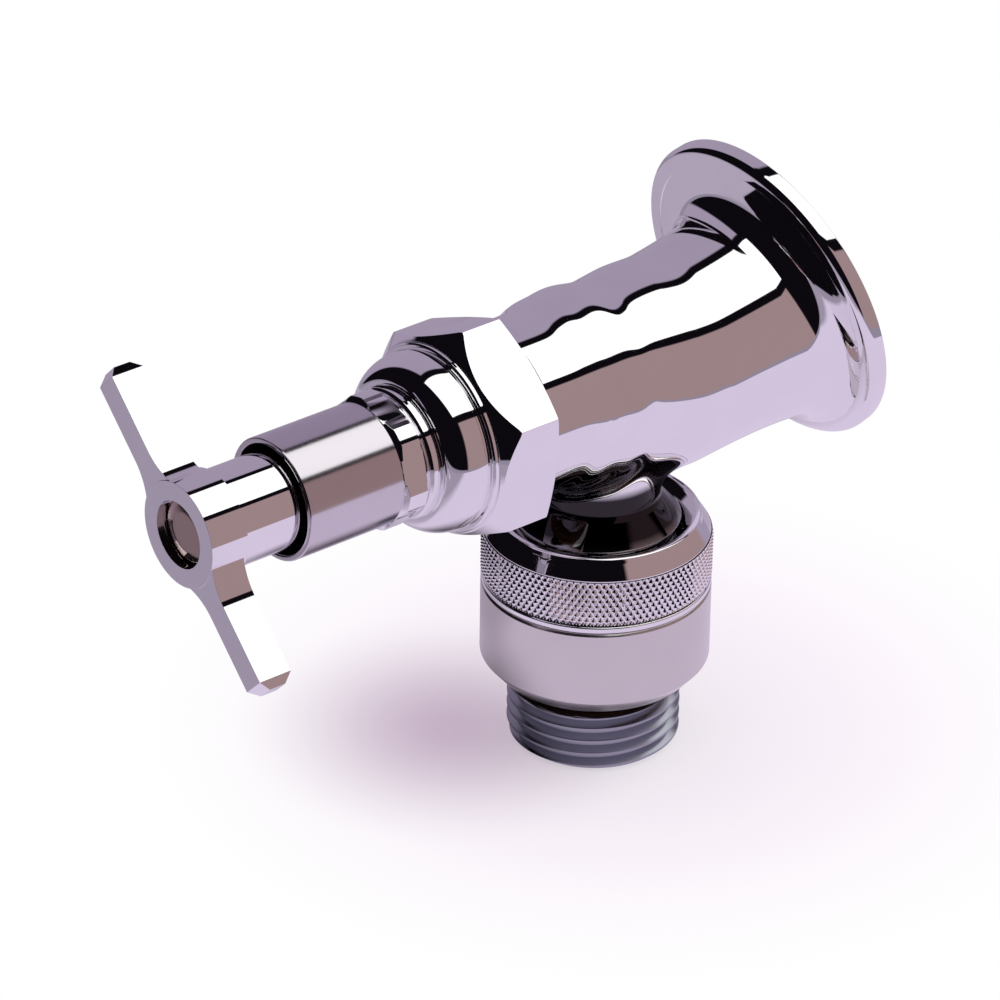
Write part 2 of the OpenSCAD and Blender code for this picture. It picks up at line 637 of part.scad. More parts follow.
module breaker_housing() color(chrome) on_outlet() difference() {
    rotate_extrude() polygon([[0, lip_h], [lip_out_r - edge, lip_h], [lip_out_r, lip_h - edge],
        [knurl_d / 2 - edge, edge], [knurl_d / 2, -edge], [knurl_d / 2, -knurl_h + edge],
        [knurl_d / 2 - 1.5 * edge, -knurl_h], [knurl_d / 2 - edge, -knurl_h - bead_h * 0.3],
        [knurl_d / 2 - edge, -knurl_h - bead_h * 0.7], [band_d / 2 - 1.5 * edge, band_z],
        [band_d / 2, band_z - edge], [band_d / 2, skirt_z + edge], [band_d / 2 - edge, skirt_z],
        [skirt_edge_r, housing_end_z], [0, housing_end_z]]);
    translate([0, 0, web_z]) cylinder(h = lip_h - web_z + over, d = neck_hose_d + 4 * seat_play);
    translate([0, 0, neck_thread_z])
        cylinder(h = lip_h - neck_thread_z + eps, r1 = neck_hose_d / 2 + 2 * seat_play, r2 = lip_in_r);
    translate([0, 0, disc_z - over]) cylinder(h = web_t + 2 * over, d = web_hole_d);
    translate([0, 0, flange_z - nipple_flange_t])
        cylinder(h = disc_z - flange_z + nipple_flange_t, d = cavity_d);
    translate([0, 0, housing_end_z - over])
        cylinder(h = flange_z - nipple_flange_t - housing_end_z + 2 * over, r = skirt_lip_r);
    translate([0, 0, -lock_screw_drop]) rotate([-90, 0, 0])
        cylinder(h = knurl_d, d = lock_screw_d + 2 * seat_play);
}

module hose_washer() color(rubber) on_outlet(web_z)
    tube(neck_hose_d - 2 * seat_play, hose_washer_hole_d, hose_washer_t);

module lock_screw() color(brass) on_outlet(-lock_screw_drop) rotate([-90, 0, 0])
    translate([0, 0, neck_hose_d / 2 + seat_play])
        cylinder(h = (knurl_d - neck_hose_d) / 2 - 1.5 * edge, d = lock_screw_d);

module breaker_disc() color(rubber) on_outlet(disc_z - disc_t)
    tube(cavity_d - 2 * disc_room, disc_hole_d, disc_t);

module breaker_poppet() color("ivory") on_outlet() union() {
    translate([0, 0, spring_top_z]) cylinder(h = poppet_t, d = poppet_d);
    translate([0, 0, poppet_z - eps])
        cylinder(h = disc_t, d1 = disc_hole_d - poppet_nose, d2 = disc_hole_d - 2 * poppet_nose);
    translate([0, 0, guide_ledge_z - poppet_tail])
        cylinder(h = spring_top_z - guide_ledge_z + poppet_tail + eps, d = poppet_stem_d);
}

// The points of one ring of the spring's wire, square to the helix, at t turns up from its foot
function wire_ring(t, sides) = let (a = 360 * t, rise = spring_l - wire_d,
        z = wire_d / 2 + rise * t / spring_curls, r = spring_d / 2,
        slope = atan2(rise / spring_curls, PI * spring_d))
    [for (k = [0:sides - 1]) let (b = 360 * k / sides, u = wire_d / 2 * cos(b), v = wire_d / 2 * sin(b))
        [(r + u) * cos(a) + v * sin(slope) * sin(a), (r + u) * sin(a) - v * sin(slope) * cos(a),
            z + v * cos(slope)]];

module breaker_spring() color("lightgray") on_outlet(guide_z) {
    sides = 6;
    rings_per_curl = 12;
    n = round(spring_curls * rings_per_curl);
    rings = [for (i = [0:n]) wire_ring(i / rings_per_curl, sides)];
    faces = [for (i = [0:n - 1], k = [0:sides - 1]) let (p = i * sides + k, q = i * sides + (k + 1) % sides)
        each [[p, q, q + sides], [p, q + sides, p + sides]]];
    caps = [for (k = [1:sides - 2]) each [[0, k + 1, k], [n * sides, n * sides + k, n * sides + k + 1]]];
    polyhedron(points = [for (r = rings) each r], faces = [for (f = concat(faces, caps)) [f[0], f[2], f[1]]]);
}

module breaker_guide() color("ivory") on_outlet(guide_ledge_z) difference() {
    union() {
        tube(guide_bore_d - 2 * seat_play, guide_bore_d - 2 * guide_rim_w, guide_h);
        cylinder(h = guide_h, d = spring_d + 2 * guide_hub_w);
        for (i = [0:guide_arms - 1]) rotate([0, 0, i * 360 / guide_arms])
            translate([spring_d / 2, -guide_arm_w / 2, edge])
                cube([guide_bore_d / 2 - spring_d / 2 - 2 * edge, guide_arm_w, guide_h - 2 * edge]);
    }
    translate([0, 0, -over]) cylinder(h = guide_h + 2 * over, d = poppet_stem_d + 2 * running_play);
}

module breaker_nipple() color(brass) on_outlet() difference() {
    union() {
        translate([0, 0, flange_z - nipple_flange_t]) cylinder(h = nipple_flange_t, d = cavity_d - 2 * seat_play);
        translate([0, 0, nipple_thread_z - edge])
            cylinder(h = flange_z - nipple_flange_t - nipple_thread_z + over, d = undercut_d);
        translate([0, 0, nipple_end_z]) thread_rings(hose_d, hose_groove, hose_pitch, nipple_thread_l);
    }
    translate([0, 0, nipple_end_z - over]) cylinder(h = flange_z - nipple_end_z + 2 * over, d = nipple_bore_d);
    translate([0, 0, guide_ledge_z]) cylinder(h = flange_z - guide_ledge_z + over, d = guide_bore_d);
    for (i = [0:air_holes - 1]) rotate([0, 0, i * 360 / air_holes])
        translate([undercut_d / 4 + skirt_lip_r / 2, 0, flange_z - nipple_flange_t - over])
            cylinder(h = nipple_flange_t + 2 * over, d = air_hole_d);
}

echo(least_gap_between_spring_curls = (spring_l - wire_d) / spring_curls - wire_d);

valve_body();
seat_ring();
bonnet();
bonnet_gasket();
packing_washer();
packing_rings();
packing_gland();
packing_nut();
stem();
disc_holder();
seat_washer();
seat_washer_screw();
tee_handle();
handle_screw();
breaker_housing();
hose_washer();
lock_screw();
breaker_disc();
breaker_poppet();
breaker_spring();
breaker_guide();
breaker_nipple();
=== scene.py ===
import math
import bmesh
import bpy
import numpy as np
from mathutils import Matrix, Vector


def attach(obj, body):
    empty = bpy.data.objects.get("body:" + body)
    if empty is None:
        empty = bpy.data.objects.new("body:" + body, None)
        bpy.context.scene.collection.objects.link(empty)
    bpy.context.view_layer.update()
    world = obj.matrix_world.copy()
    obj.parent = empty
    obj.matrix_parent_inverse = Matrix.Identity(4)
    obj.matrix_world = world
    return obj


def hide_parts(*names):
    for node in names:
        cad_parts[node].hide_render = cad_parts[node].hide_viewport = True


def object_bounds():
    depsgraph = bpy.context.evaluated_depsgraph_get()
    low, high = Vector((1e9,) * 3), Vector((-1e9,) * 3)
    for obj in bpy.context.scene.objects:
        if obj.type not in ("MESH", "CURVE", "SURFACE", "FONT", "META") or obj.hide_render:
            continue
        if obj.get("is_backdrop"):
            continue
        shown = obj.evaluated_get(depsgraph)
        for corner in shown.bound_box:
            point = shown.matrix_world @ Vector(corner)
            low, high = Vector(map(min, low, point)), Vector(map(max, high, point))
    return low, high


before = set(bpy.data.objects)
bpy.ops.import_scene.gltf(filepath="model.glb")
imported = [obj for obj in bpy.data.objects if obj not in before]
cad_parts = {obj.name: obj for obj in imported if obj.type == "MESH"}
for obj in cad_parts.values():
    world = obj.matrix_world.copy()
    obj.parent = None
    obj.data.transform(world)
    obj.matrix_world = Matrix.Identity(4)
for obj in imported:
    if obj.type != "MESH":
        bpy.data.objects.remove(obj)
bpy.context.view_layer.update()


# The camera stands where the photograph was taken from, a long lens a little under a metre off.
# Its place and turn were fitted to the round edges of the outlet and are given in the row frame.
camera = bpy.data.objects.new("camera", bpy.data.cameras.new("camera"))
camera.location = (0.605495, -0.424758, 0.554147)
camera.rotation_euler = [math.radians(a) for a in (50.8795, 10.8561, 50.0270)]
camera.data.lens = 216
camera.data.sensor_width = 36
camera.data.clip_start = 0.01
bpy.context.scene.collection.objects.link(camera)
bpy.context.scene.camera = camera
bpy.context.scene.view_settings.view_transform = "Standard"


# The studio: a white surround, a pale floor under the hose thread with a soft shade painted on it, and a
# painted tent round the set, which only shiny surfaces see. The faucet was photographed standing on its
# thread, so floor and tent are square to the outlet.
class Wire:
    """A shader value: arithmetic on wires adds Math nodes, and node() adds any other node."""

    def __init__(self, tree, socket):
        self.tree = tree
        self.socket = socket

    @classmethod
    def node(cls, tree, kind, settings=None, values=None, output=0):
        made = tree.nodes.new(kind)
        for name, value in (settings or {}).items():
            setattr(made, name, value)
        for name, value in (values or {}).items():
            if isinstance(value, Wire):
                tree.links.new(value.socket, made.inputs[name])
            else:
                made.inputs[name].default_value = value
        return cls(tree, made.outputs[output]) if made.outputs else None

    def maths(self, operation, other=0.0, clamp=False, swapped=False):
        """A Math node on this value and another, which comes first where they are swapped."""
        pair = (other, self) if swapped else (self, other)
        settings = {"operation": operation, "use_clamp": clamp}
        return Wire.node(self.tree, "ShaderNodeMath", settings, dict(enumerate(pair)))

    def __add__(self, other):
        return self.maths("ADD", other)

    def __sub__(self, other):
        return self.maths("SUBTRACT", other)

    def __rsub__(self, other):
        return self.maths("SUBTRACT", other, swapped=True)

    def __mul__(self, other):
        return self.maths("MULTIPLY", other)

    def __truediv__(self, other):
        return self.maths("DIVIDE", other)

    __radd__ = __add__
    __rmul__ = __mul__

    def held(self):
        """The value, kept between 0 and 1."""
        return self.maths("ADD", 0.0, clamp=True)

    def eased(self):
        """The value kept between 0 and 1, with a gentle start and end."""
        kept = self.held()
        return kept * kept * (3 - 2 * kept)

    def above(self, low, soft):
        """1 above low and 0 under it, changing over a width of soft."""
        return ((self - low) / soft + 0.5).held()

    def below(self, high, soft):
        """1 under high and 0 above it, changing over a width of soft."""
        return ((high - self) / soft + 0.5).held()

    def within(self, low, high, soft):
        """1 between low and high, falling to 0 over a width of soft at either side."""
        return self.above(low, soft) * self.below(high, soft)


def vector_maths(tree, operation, *values, output="Vector"):
    """A Vector Math node, whose answer is a vector, or a number at the output called Value."""
    values = dict(enumerate(values))
    return Wire.node(tree, "ShaderNodeVectorMath", {"operation": operation}, values, output)


def paint(tree, under, over, mask):
    """Colour over laid on colour under, where the mask is 1. A Mix node has its colours at 6, 7 and 2."""
    return Wire.node(tree, "ShaderNodeMix", {"data_type": "RGBA"}, {0: mask, 6: under, 7: over}, 2)


def new_material(name):
    """A material and its empty node tree."""
    material = bpy.data.materials.new(name)
    material.use_nodes = True
    material.node_tree.nodes.clear()
    return material, material.node_tree


def end_material(tree, shader):
    """Joins the finished shader to the material's output."""
    Wire.node(tree, "ShaderNodeOutputMaterial", values={"Surface": shader})


world = bpy.data.worlds.new("surround")
bpy.context.scene.world = world
world.use_nodes = True
background = world.node_tree.nodes["Background"]
background.inputs["Color"].default_value = (1, 1, 1, 1)
background.inputs["Strength"].default_value = 1

# Sizes of pieces are in millimetres and places in a material in metres. The stem's axis leaves the inlet's
# at bend_out from the wall and crosses the outlet's after outlet_run more. Heights on the breaker count
# from breaker_drop under that crossing.
tilt = math.radians(15)
bend_out, outlet_run, breaker_drop = 18.1, 17, 26.3
crossing = np.array((0, -bend_out - outlet_run * math.cos(tilt), outlet_run * math.sin(tilt)))
stem_way = np.array((0, -math.cos(tilt), math.sin(tilt)))
outlet_up = np.array((0, math.sin(tilt), math.cos(tilt)))
across = np.array((1.0, 0, 0))
ON_OUTLET = (np.column_stack((across, -stem_way, outlet_up)), crossing - breaker_drop * outlet_up)

# The floor's paint: it glows, least round the thread, where a little true shadow falls. Dusk is the
# painted shade, and sheen is what the chrome mirrors of the floor.
floor_paint, tree = new_material("studio_floor")
dusk_side, dusk_ahead, dusk_reach = -0.014, 0.052, 0.036
place = Wire.node(tree, "ShaderNodeTexCoord", output="Object")
side = Wire.node(tree, "ShaderNodeSeparateXYZ", values={0: place})
ahead = vector_maths(tree, "DOT_PRODUCT", place, stem_way, output="Value")
from_side, from_ahead = side - dusk_side, ahead - dusk_ahead
away = (from_side * from_side + from_ahead * from_ahead).maths("SQRT")
dusk = (1 - away / dusk_reach).eased()
cloth = paint(tree, (1, 0.8, 1, 1), (0.60, 0.45, 0.60, 1), dusk)
cloth = Wire.node(tree, "ShaderNodeBsdfDiffuse", values={"Color": cloth})
glow = paint(tree, (1, 1, 1, 1), (0.64, 0.53, 0.64, 1), dusk)
glow = Wire.node(tree, "ShaderNodeEmission", values={"Color": glow})
glow_middle, glow_start, glow_width, least_glow = (0, -0.044, -0.056), 0.025, 0.055, 0.6
from_middle = vector_maths(tree, "SUBTRACT", place, glow_middle)
reach = vector_maths(tree, "LENGTH", from_middle, output="Value")
glowing = least_glow + (1 - least_glow) * ((reach - glow_start) / glow_width).eased()
matt = Wire.node(tree, "ShaderNodeMixShader", values={0: glowing, 1: cloth, 2: glow})
# The sheen is a painted reflection of the floor, painted darker under the painted shade, to the left and far
# ahead along the stem.
sheen = paint(tree, (0.70, 0.61, 0.78, 1), (0.12, 0.10, 0.13, 1), dusk)
sheen = paint(tree, sheen, (0.45, 0.39, 0.50, 1), side.below(-0.036, 0.02))
sheen = paint(tree, sheen, (0.36, 0.31, 0.40, 1), ahead.above(0.134, 0.03))
sheen = Wire.node(tree, "ShaderNodeEmission", values={"Color": sheen})
glossy = Wire.node(tree, "ShaderNodeLightPath", output="Is Glossy Ray")
seen = Wire.node(tree, "ShaderNodeMixShader", values={0: glossy, 1: matt, 2: sheen})
clear = Wire.node(tree, "ShaderNodeBsdfTransparent")
underside = Wire.node(tree, "ShaderNodeNewGeometry", output="Backfacing")
end_material(tree, Wire.node(tree, "ShaderNodeMixShader", values={0: underside, 1: seen, 2: clear}))


def link_mesh(name, points, faces, material):
    """A smooth-shaded mesh object from points in metres."""
    mesh = bpy.data.meshes.new(name)
    mesh.from_pydata([tuple(p) for p in points], [], [tuple(f) for f in faces])
    mesh.materials.append(material)
    mesh.shade_smooth()
    made = bpy.data.objects.new(name, mesh)
    bpy.context.scene.collection.objects.link(made)
    return made


def seated(points, seat):
    """Points about an axis of the faucet, in millimetres, as points of the row frame in metres."""
    return (np.asarray(points) @ seat[0].T + seat[1]) / 1000


def ring_faces(rings, columns, closed):
    """The four-cornered faces between rings of points. Closed joins the last ring to the first."""
    faces = []
    for i in range(rings if closed else rings - 1):
        here, above = i * columns, (i + 1) % rings * columns
        for j in range(columns):
            onward = (j + 1) % columns
            faces.append((here + j, here + onward, above + onward, above + j))
    return faces


def wrapped(rows, columns, closed=True):
    """Points and faces of a section round an axis: rows of (radius, height), numbers or one per column."""
    angles = np.linspace(0, 2 * math.pi, columns + 1)[:-1]
    points = np.zeros((len(rows), columns, 3))
    for ring, (r, h) in zip(points, rows):
        ring[:, 0] = r * np.cos(angles)
        ring[:, 1] = r * np.sin(angles)
        ring[:, 2] = h
    return points.reshape(-1, 3), ring_faces(len(rows), columns, closed)


floor_radius, floor_height, floor_sides = 220, -36.3, 96
rim, _ = wrapped([(floor_radius, floor_height)], floor_sides, closed=False)
floor = link_mesh("floor", seated(rim, ON_OUTLET), [range(floor_sides)], floor_paint)
floor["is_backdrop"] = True

# The tent's paint goes by direction: x to the right as one faces the wall, y back along the stem and z up
# the outlet's axis. Overhead it goes by u and w, a place on a flat ceiling at a height of 1.
tent_paint, tree = new_material("tent")
spot = Wire.node(tree, "ShaderNodeTexCoord", output="Object")
spot = Wire.node(tree, "ShaderNodeVectorRotate", {"rotation_type": "X_AXIS"}, {"Vector": spot, "Angle": tilt})
spot = vector_maths(tree, "NORMALIZE", spot)
x, y, z = (Wire.node(tree, "ShaderNodeSeparateXYZ", values={0: spot}, output=i) for i in range(3))
lilac_cloth = (0.37, 0.31, 0.42, 1)
taupe_cloth = (0.36, 0.25, 0.255, 1)
floor_cloth = (0.30, 0.26, 0.34, 1)
black_cloth = (0.004, 0.003, 0.005, 1)
lamp_cloth = (1.3, 1.3, 1.3, 1)
horizon = 0.02
overhead = z.above(horizon, 0.02)
height = z.maths("MAXIMUM", horizon)
u, w = x / height, y / height
black_frame = overhead * u.within(-0.48, 1.14, 0.05) * w.within(-1.2, 2.6, 0.1)
lamp = overhead * u.within(-0.28, 0.84, 0.02) * w.within(-0.35, 1.9, 0.02)
shade = paint(tree, lilac_cloth, taupe_cloth, x.above(0.05, 0.1))
shade = paint(tree, shade, black_cloth, y.below(-0.15, 0.06))
shade = paint(tree, shade, floor_cloth, z.below(-0.26, 0.02))
shade = paint(tree, shade, black_cloth, black_frame)
shade = paint(tree, shade, lamp_cloth, lamp)
end_material(tree, Wire.node(tree, "ShaderNodeEmission", values={"Color": shade}))
tent_radius, tent_rings, tent_columns = 3, 25, 48
slopes = [math.radians(a) for a in np.linspace(-90, 90, tent_rings)]
tent_rows = [(tent_radius * math.cos(a), tent_radius * math.sin(a)) for a in slopes]
tent_points, tent_faces = wrapped(tent_rows, tent_columns, closed=False)
tent = link_mesh("tent", tent_points, tent_faces, tent_paint)
tent.visible_camera = tent.visible_diffuse = tent.visible_shadow = tent.visible_transmission = False
tent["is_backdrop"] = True


# The valve body: one brass casting with the wall flange, the leaning barrel, the valve chamber and the
# outlet neck, blended by hand polishing and chrome plated. Its bores and threads are cut afterwards.
def noise(tree, spot, scale, detail):
    """A value between 0 and 1 that wanders from place to place, in patches of about 1 / scale."""
    values = {"Vector": spot, "Scale": scale, "Detail": detail}
    return Wire.node(tree, "ShaderNodeTexNoise", values=values)


def plating(name, tone, roughness, ripple=0.0, haze=0.02, painted_shade=None):
    """Bright plate over brass, with faint haze and a slight ripple from the buffing wheel, in millimetres.
    A painted shade is given by its tone, its reach from the outlet's axis, and its lowest and highest
    place from the crossing up that axis; within it the colour is painted darker where shade falls."""
    material, tree = new_material(name)
    spot = Wire.node(tree, "ShaderNodeTexCoord", output="Object")
    cloud = noise(tree, spot, scale=160, detail=4)
    grain = noise(tree, spot, scale=1500, detail=2)
    buffed = noise(tree, spot, scale=90, detail=1)
    worn = [0.93 * c for c in tone]
    colour = paint(tree, (*worn, 1), (*tone, 1), cloud)
    if painted_shade:
        x, s, rise = (
            vector_maths(tree, "DOT_PRODUCT", spot, way, output="Value") - crossing @ way / 1000
            for way in (across, stem_way, outlet_up)
        )
        near = (x * x + s * s).maths("SQRT").below(painted_shade["reach"], 0.003)
        level = rise.within(painted_shade["low"], painted_shade["high"], 0.0015)
        colour = paint(tree, colour, (*painted_shade["tone"], 1), near * level)
    dents = {"Strength": 1, "Distance": ripple / 1000, "Height": buffed}
    finish = {
        "Base Color": colour,
        "Metallic": 1,
        "Roughness": roughness + haze * cloud * grain,
        "Normal": Wire.node(tree, "ShaderNodeBump", values=dents),
    }
    end_material(tree, Wire.node(tree, "ShaderNodeBsdfPrincipled", values=finish))
    return material


bright = (0.94, 0.93, 0.95)
# Round the outlet neck, inside the breaker's cup, the casting's colour is painted near black: a painted
# shade.
painted_neck_shade = {"tone": (0.04, 0.035, 0.04), "reach": 0.0135, "low": -1, "high": -0.0160}
chrome = plating("bright_chrome", bright, roughness=0.025, ripple=0.02)
cast_chrome = plating("cast_chrome", bright, roughness=0.025, ripple=0.02, painted_shade=painted_neck_shade)


def rounded(corners):
    """Corners of a turned section (radius, height, fillet) as points, with each fillet an arc."""
    points = []
    for i, (r, h, fillet) in enumerate(corners):
        here = np.array((r, h), float)
        if fillet == 0:
            points.append(here)
            continue
        back = np.array(corners[i - 1][:2]) - here
        onward = np.array(corners[(i + 1) % len(corners)][:2]) - here
        back_l, onward_l = np.linalg.norm(back), np.linalg.norm(onward)
        back, onward = back / back_l, onward / onward_l
        half = math.acos(np.clip(back @ onward, -1, 1)) / 2
        reach = min(fillet / math.tan(half), 0.48 * back_l, 0.48 * onward_l)
        centre = here + (back + onward) / np.linalg.norm(back + onward) * reach / math.cos(half)
        start, end = here + back * reach - centre, here + onward * reach - centre
        sweep = math.pi - 2 * half
        steps = max(3, int(math.degrees(sweep) / 9))
        for k in range(steps + 1):
            t = k / steps
            arm = math.sin((1 - t) * sweep) * start + math.sin(t * sweep) * end
            points.append(centre + arm / math.sin(sweep))
    return np.array(points)


def tidy_mesh(made, angle):
    """Merges doubled points, turns the faces outward and keeps edges above that angle sharp."""
    work = bmesh.new()
    work.from_mesh(made.data)
    bmesh.ops.remove_doubles(work, verts=work.verts, dist=2e-7)
    bmesh.ops.dissolve_degenerate(work, edges=work.edges, dist=1e-7)
    bmesh.ops.recalc_face_normals(work, faces=work.faces)
    work.to_mesh(made.data)
    work.free()
    made.data.shade_smooth()
    made.data.set_sharp_from_angle(angle=math.radians(angle))
    return made


def turned(name, corners, seat, material, columns=180):
    """A piece turned on the lathe: its closed section, about one of the faucet's axes."""
    points, faces = wrapped(rounded(corners), columns)
    return tidy_mesh(link_mesh(name, seated(points, seat), faces, material), 32)


def settle(made):
    """Makes what the modifiers of a piece do its own mesh, and takes them off."""
    bpy.context.view_layer.update()
    graph = bpy.context.evaluated_depsgraph_get()
    mesh = bpy.data.meshes.new_from_object(made.evaluated_get(graph))
    made.modifiers.clear()
    made.data = mesh


def cut(target, tool, operation="DIFFERENCE"):
    """Cuts the tool from the target, or joins it on, and removes the tool."""
    step = target.modifiers.new("cut", "BOOLEAN")
    step.operation, step.solver, step.object = operation, "MANIFOLD", tool
    settle(target)
    bpy.data.objects.remove(tool)


def blend(a, b, k):
    """The nearer of two distances, with a fillet of about k where they are alike."""
    h = np.maximum(k - np.abs(a - b), 0) / k
    return np.minimum(a, b) - h * h * k / 4


def both(a, b, r=0.3):
    """The further of two distances, with the edge between them rounded by r."""
    pa, pb = np.maximum(a + r, 0), np.maximum(b + r, 0)
    return np.minimum(np.maximum(a + r, b + r), 0) + np.hypot(pa, pb) - r


def bump(value, at, width):
    """A rounded hump of height 1."""
    return np.exp(-(((value - at) / width) ** 2))


def step_down(value, at, width):
    """A smooth step from 2 down to 0."""
    return 1 - np.tanh((value - at) / width)


ON_STEM = (np.column_stack((across, outlet_up, stem_way)), crossing)
ON_INLET = (np.column_stack((across, (0, 0, 1), (0, -1, 0))), np.zeros(3))
body_front, waist_r, tail_start, tail_end = 20.2, 13.6, 7, 22
neck_r, neck_length = 9.5, 21
dish_r, dish_t, dish_slope = 23.1, 2.95, 0.12
barrel_r, barrel_back, barrel_drop = 16.1, 10, 1.7
barrel_fillet, neck_fillet, dish_fillet = 3, 4, 4.5
lean = math.radians(7.5)
barrel_l = bend_out / math.cos(tilt) + outlet_run - barrel_back
barrel_end = crossing - barrel_back * stem_way - barrel_drop * outlet_up
barrel_way = -math.cos(lean) * stem_way + math.sin(lean) * outlet_up
ON_BARREL = (np.column_stack((across, np.cross(barrel_way, across), barrel_way)), barrel_end)


def chamber_radius(s, angle):
    """The chamber's outline as photographed: a waist, a ramp to the belly, and a crease left at its side."""
    ramp = 0.6 * step_down(s, at=10.9, width=1.6)
    belly = 0.4 * bump(s, at=4.2, width=2.5)
    tail = 0.15 * step_down(s, at=0.5, width=2)
    crease = 0.12 * bump(s, at=9.8, width=0.5) * np.exp(-(((angle - 9) / 10) ** 4))
    return waist_r + ramp + belly - tail - crease


def casting(points):
    """Signed distance to the outside of the casting, in millimetres."""
    x, y, z = points.T
    from_crossing = points - crossing
    s, rise = from_crossing @ stem_way, from_crossing @ outlet_up
    angle = np.degrees(np.arctan2(rise, x))
    chamber = both(np.hypot(x, rise) - chamber_radius(s, angle), s - body_front)
    # The chamber's tail draws in and ends inside the barrel.
    tail = np.clip(-tail_start - s, 0, 20)
    chamber = np.maximum(chamber + 0.04 * tail ** 2, -tail_end - s)
    neck = np.maximum(np.maximum(np.hypot(x, s) - neck_r, rise), -neck_length - rise)
    # The barrel starts as a ball in the chamber and flares to the flange, most of it near its end.
    from_end = points - barrel_end
    along = from_end @ barrel_way
    aside = np.linalg.norm(from_end - along[:, None] * barrel_way, axis=1)
    flare = np.clip(along / barrel_l, 0, 1.2)
    barrel = aside - barrel_r - 0.4 * flare - 2.4 * flare ** 3
    barrel = np.where(along < 0, np.linalg.norm(from_end, axis=1) - barrel_r, barrel)
    spread = np.hypot(x, z)
    dish_face = dish_t + dish_slope * (dish_r - 0.5 - spread)
    dish = both(spread - dish_r, -y - dish_face)
    shape = blend(blend(chamber, barrel, barrel_fillet), neck, neck_fillet)
    return both(blend(shape, dish, dish_fillet), y)


def casting_slope(points, step=0.02):
    """The unit direction in which the distance grows."""
    slope = np.stack([casting(points + step * a) - casting(points - step * a) for a in np.eye(3)], -1)
    return slope / np.maximum(np.linalg.norm(slope, axis=1), 1e-9)[:, None]


def mesh_points(mesh):
    """A mesh's points in millimetres."""
    points = np.zeros(len(mesh.vertices) * 3)
    mesh.vertices.foreach_get("co", points)
    return points.reshape(-1, 3) * 1000


# Four rough blanks are remeshed into one skin, whose points then move onto the casting's surface.
blanks = (
    ([(0, 0), (23, 0), (23, 2.4), (17, 5), (0, 5)], ON_INLET),
    ([(0, -12), (14.6, -12), (14.6, body_front), (0, body_front)], ON_STEM),
    ([(0, 5.3), (neck_r, 5.3), (neck_r, 26), (0, 26)], ON_OUTLET),
    ([(0, -14), (8, -13), (15.5, -4), (16.3, 0), (18.5, barrel_l - 1), (0, barrel_l - 1)], ON_BARREL),
)
blank_points, blank_faces = [], []
for section, seat in blanks:
    points, faces = wrapped(section, 64)
    blank_faces += [[corner + len(blank_points) for corner in face] for face in faces]
    blank_points += list(seated(points, seat))
valve_body = link_mesh("valve_body_casting", blank_points, blank_faces, cast_chrome)
tidy_mesh(valve_body, 30)
skin_grain, rounds, longest_step = 0.45, 8, 0.6
remesh = valve_body.modifiers.new("skin", "REMESH")
remesh.mode, remesh.voxel_size = "VOXEL", skin_grain / 1000
settle(valve_body)
skin_points = mesh_points(valve_body.data)
for _ in range(rounds):
    distance = np.clip(casting(skin_points), -longest_step, longest_step)
    skin_points -= distance[:, None] * casting_slope(skin_points)
valve_body.data.vertices.foreach_set("co", (skin_points / 1000).ravel())
valve_body.data.update()
bores = (
    ([(0, -1, 0), (13.2, -1, 0), (13.2, 14, 0), (8.5, 17, 0), (0, 17, 0)], ON_INLET),
    ([(0, -19.5, 0), (7, -19.5, 0), (7, -1.5, 0), (0, -1.5, 0)], ON_STEM),
    ([(0, -12.3, 0), (8, -12.3, 0), (8, -7.3, 0), (10.8, -7.3, 0), (10.8, 9.8, 0), (11.55, 9.8, 0),
      (11.55, 22, 0), (0, 22, 0)], ON_STEM),
    ([(0, 4, 0), (6.95, 4, 0), (6.95, 26.3, 0), (0, 26.3, 0)], ON_OUTLET),
)
for corners, seat in bores:
    cut(valve_body, turned("bore", corners, seat, chrome, columns=128))

# Outside, the shading normals are taken from the casting's distance, so that the plate shines evenly.
body_mesh = valve_body.data
body_mesh.shade_smooth()
body_mesh.set_sharp_from_angle(angle=math.radians(40))
points = mesh_points(body_mesh)
on_skin = np.abs(casting(points)) < 0.03
corner_vertex = np.zeros(len(body_mesh.loops), np.int32)
body_mesh.loops.foreach_get("vertex_index", corner_vertex)
corner_normal = np.zeros(len(body_mesh.loops) * 3)
body_mesh.corner_normals.foreach_get("vector", corner_normal)
corner_normal = corner_normal.reshape(-1, 3)
true_normal = casting_slope(points)[corner_vertex]
alike = (true_normal * corner_normal).sum(1) > 0.9
outside = on_skin[corner_vertex] & alike
corner_normal = np.where(outside[:, None], true_normal, corner_normal)
body_mesh.normals_split_custom_set(corner_normal.tolist())
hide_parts("valve_body")
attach(valve_body, "faucet")

# The rolled rim of the flange, with the fine line where it meets the dished face.
flange_roll = turned("flange_roll", [
    (22, 0.2, 0), (25.35, 0.03, 0.2), (25.48, 3.12, 2.7), (22.5, 3.12, 0.3), (22.2, 1.2, 0),
], ON_INLET, chrome, columns=240)
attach(flange_roll, "faucet")


